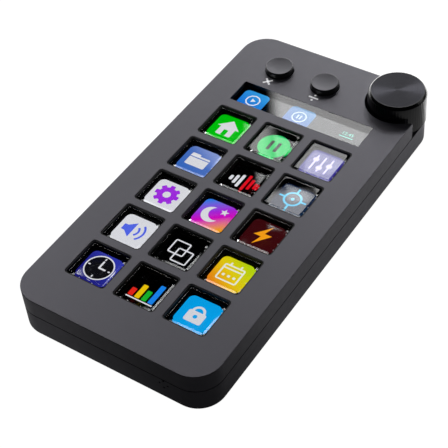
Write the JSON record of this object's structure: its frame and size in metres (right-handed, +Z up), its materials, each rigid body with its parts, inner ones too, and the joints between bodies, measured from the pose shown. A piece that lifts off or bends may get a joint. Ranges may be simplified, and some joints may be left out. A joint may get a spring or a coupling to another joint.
{
  "type": "macro keypad with knob",
  "caption": "Slim desk keypad: a grid of clear screen keys over one colour display, an information strip, round push buttons and a large corner knob that turns and presses.",
  "frame": {"origin": "centre of the rounded rectangular footprint, on the surface that the base pad rests on", "axes": "+X right, +Y towards the knob end, +Z up"},
  "size_m": [0.0792, 0.1568, 0.0239],
  "materials": {
    "cover": "satin dark grey moulding",
    "case": "satin dark grey moulding",
    "base_rubber": "matt anti-slip rubber",
    "screw_steel": "plated steel",
    "black_frame": "black moulding",
    "clear_cap": "clear polished plastic",
    "silicone": "black silicone rubber",
    "amber_film": "amber polyimide film",
    "clear_window": "clear polished plastic",
    "display_glass": "black display glass",
    "tray_metal": "thin folded tray",
    "plate_steel": "stamped plate",
    "ivory_plastic": "ivory plastic",
    "board_green": "green solder mask",
    "chip_black": "black moulding compound",
    "socket_steel": "drawn steel shell",
    "switch_black": "black plastic",
    "button_plastic": "satin face, glossier side",
    "encoder_metal": "pressed steel",
    "shaft_metal": "turned",
    "knob_gloss": "gloss black with fine upright ribs",
    "knob_face_metal": "dark spun metal"
  },
  "bodies": {
    "root": {"top_cover": "cover", "bottom_case": "case", "base_pad": "base_rubber", "case_screws": "screw_steel", "key_frame": "black_frame", "spring_mat": "silicone", "contact_film": "amber_film", "strip_window": "clear_window", "display_panel": "display_glass", "backlight_tray": "tray_metal", "mid_plate": "plate_steel", "frame_screws": "screw_steel", "display_flex": "amber_film", "flex_connector": "ivory_plastic", "main_board": "board_green", "board_screws": "screw_steel", "board_chips": "chip_black", "usb_shell": "socket_steel", "usb_tongue": "chip_black", "left_switch": "switch_black", "right_switch": "switch_black", "encoder_body": "encoder_metal", "encoder_washer": "screw_steel", "encoder_nut": "screw_steel", "microphone": "chip_black", "mic_gasket": "silicone"},
    "key_r1_c1": {"key_r1_c1": "clear_cap"},
    "key_r1_c2": {"key_r1_c2": "clear_cap"},
    "key_r1_c3": {"key_r1_c3": "clear_cap"},
    "key_r2_c1": {"key_r2_c1": "clear_cap"},
    "key_r2_c2": {"key_r2_c2": "clear_cap"},
    "key_r2_c3": {"key_r2_c3": "clear_cap"},
    "key_r3_c1": {"key_r3_c1": "clear_cap"},
    "key_r3_c2": {"key_r3_c2": "clear_cap"},
    "key_r3_c3": {"key_r3_c3": "clear_cap"},
    "key_r4_c1": {"key_r4_c1": "clear_cap"},
    "key_r4_c2": {"key_r4_c2": "clear_cap"},
    "key_r4_c3": {"key_r4_c3": "clear_cap"},
    "key_r5_c1": {"key_r5_c1": "clear_cap"},
    "key_r5_c2": {"key_r5_c2": "clear_cap"},
    "key_r5_c3": {"key_r5_c3": "clear_cap"},
    "left_button": {"left_button": "button_plastic", "left_plunger": "ivory_plastic"},
    "right_button": {"right_button": "button_plastic", "right_plunger": "ivory_plastic"},
    "knob_pusher": {"encoder_plunger": "ivory_plastic"},
    "knob": {"encoder_shaft": "shaft_metal", "knob_cap": "knob_gloss", "knob_face": "knob_face_metal"}
  },
  "joints": [
    {"name": "key_r1_c1_press", "type": "slide", "parent": "root", "child": "key_r1_c1", "axis": [0, 0, 1], "range_m": [-0.00055, 0], "stiffness_N_per_m": 400, "springref_m": 0.001, "deforming": ["spring_mat"]},
    {"name": "key_r1_c2_press", "type": "slide", "parent": "root", "child": "key_r1_c2", "axis": [0, 0, 1], "range_m": [-0.00055, 0], "stiffness_N_per_m": 400, "springref_m": 0.001, "deforming": ["spring_mat"]},
    {"name": "key_r1_c3_press", "type": "slide", "parent": "root", "child": "key_r1_c3", "axis": [0, 0, 1], "range_m": [-0.00055, 0], "stiffness_N_per_m": 400, "springref_m": 0.001, "deforming": ["spring_mat"]},
    {"name": "key_r2_c1_press", "type": "slide", "parent": "root", "child": "key_r2_c1", "axis": [0, 0, 1], "range_m": [-0.00055, 0], "stiffness_N_per_m": 400, "springref_m": 0.001, "deforming": ["spring_mat"]},
    {"name": "key_r2_c2_press", "type": "slide", "parent": "root", "child": "key_r2_c2", "axis": [0, 0, 1], "range_m": [-0.00055, 0], "stiffness_N_per_m": 400, "springref_m": 0.001, "deforming": ["spring_mat"]},
    {"name": "key_r2_c3_press", "type": "slide", "parent": "root", "child": "key_r2_c3", "axis": [0, 0, 1], "range_m": [-0.00055, 0], "stiffness_N_per_m": 400, "springref_m": 0.001, "deforming": ["spring_mat"]},
    {"name": "key_r3_c1_press", "type": "slide", "parent": "root", "child": "key_r3_c1", "axis": [0, 0, 1], "range_m": [-0.00055, 0], "stiffness_N_per_m": 400, "springref_m": 0.001, "deforming": ["spring_mat"]},
    {"name": "key_r3_c2_press", "type": "slide", "parent": "root", "child": "key_r3_c2", "axis": [0, 0, 1], "range_m": [-0.00055, 0], "stiffness_N_per_m": 400, "springref_m": 0.001, "deforming": ["spring_mat"]},
    {"name": "key_r3_c3_press", "type": "slide", "parent": "root", "child": "key_r3_c3", "axis": [0, 0, 1], "range_m": [-0.00055, 0], "stiffness_N_per_m": 400, "springref_m": 0.001, "deforming": ["spring_mat"]},
    {"name": "key_r4_c1_press", "type": "slide", "parent": "root", "child": "key_r4_c1", "axis": [0, 0, 1], "range_m": [-0.00055, 0], "stiffness_N_per_m": 400, "springref_m": 0.001, "deforming": ["spring_mat"]},
    {"name": "key_r4_c2_press", "type": "slide", "parent": "root", "child": "key_r4_c2", "axis": [0, 0, 1], "range_m": [-0.00055, 0], "stiffness_N_per_m": 400, "springref_m": 0.001, "deforming": ["spring_mat"]},
    {"name": "key_r4_c3_press", "type": "slide", "parent": "root", "child": "key_r4_c3", "axis": [0, 0, 1], "range_m": [-0.00055, 0], "stiffness_N_per_m": 400, "springref_m": 0.001, "deforming": ["spring_mat"]},
    {"name": "key_r5_c1_press", "type": "slide", "parent": "root", "child": "key_r5_c1", "axis": [0, 0, 1], "range_m": [-0.00055, 0], "stiffness_N_per_m": 400, "springref_m": 0.001, "deforming": ["spring_mat"]},
    {"name": "key_r5_c2_press", "type": "slide", "parent": "root", "child": "key_r5_c2", "axis": [0, 0, 1], "range_m": [-0.00055, 0], "stiffness_N_per_m": 400, "springref_m": 0.001, "deforming": ["spring_mat"]},
    {"name": "key_r5_c3_press", "type": "slide", "parent": "root", "child": "key_r5_c3", "axis": [0, 0, 1], "range_m": [-0.00055, 0], "stiffness_N_per_m": 400, "springref_m": 0.001, "deforming": ["spring_mat"]},
    {"name": "left_button_press", "type": "slide", "parent": "root", "child": "left_button", "axis": [0, 0, 1], "range_m": [-0.00035, 0], "stiffness_N_per_m": 600, "springref_m": 0.0015},
    {"name": "right_button_press", "type": "slide", "parent": "root", "child": "right_button", "axis": [0, 0, 1], "range_m": [-0.00035, 0], "stiffness_N_per_m": 600, "springref_m": 0.0015},
    {"name": "knob_press", "type": "slide", "parent": "root", "child": "knob_pusher", "axis": [0, 0, 1], "range_m": [-0.0005, 0], "stiffness_N_per_m": 500, "springref_m": 0.004},
    {"name": "knob_turn", "type": "hinge", "parent": "knob_pusher", "child": "knob", "pos_m": [0.0288, 0.06765, 0.0179], "axis": [0, 0, 1], "continuous": true}
  ]
}
